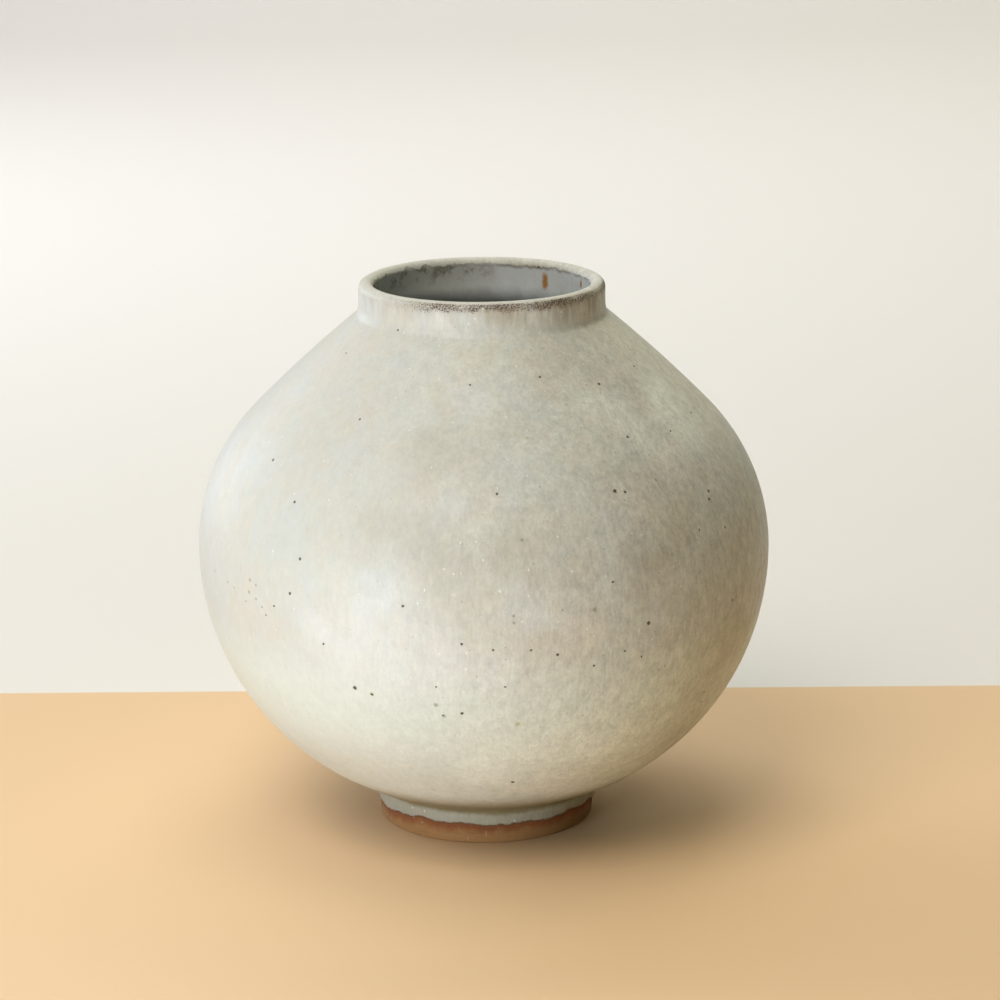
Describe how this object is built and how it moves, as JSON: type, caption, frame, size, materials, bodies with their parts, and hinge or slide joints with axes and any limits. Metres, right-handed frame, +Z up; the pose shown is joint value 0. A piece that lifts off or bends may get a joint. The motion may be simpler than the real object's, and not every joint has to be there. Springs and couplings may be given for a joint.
{
  "type": "moon jar",
  "caption": "Small glazed stoneware moon jar: a round body of joined bowls with a short thrown collar, a rounded lip and a bare ring foot.",
  "frame": {"origin": "centre of the foot, on the surface the jar stands on", "axes": "+Z up along the jar's axis, through the middle of the mouth; +X and +Y are any two directions square to it, because the jar is turned, and the pictured side faces -Y"},
  "size_m": [0.2, 0.2, 0.193],
  "materials": {
    "bare_clay": "bare fired stoneware, toasted orange-brown, rough and matt",
    "body_clay": "fired stoneware, buff, hidden under the glaze",
    "joint_slip": "fired slip, fine and matt, hidden in the joints",
    "outer_glaze": "satin off-white glaze with a pale green-grey cast, iron specks and a speckled line under the lip",
    "liner_glaze": "glossy blue-grey glaze, thicker and darker than the outside"
  },
  "bodies": {
    "root": {"foot_ring": "bare_clay", "foot_slip": "joint_slip", "lower_bowl": "body_clay", "waist_slip": "joint_slip", "upper_bowl": "body_clay", "neck_slip": "joint_slip", "neck_collar": "body_clay", "outer_glaze": "outer_glaze", "liner_glaze": "liner_glaze", "foot_well_glaze": "outer_glaze"}
  },
  "joints": []
}
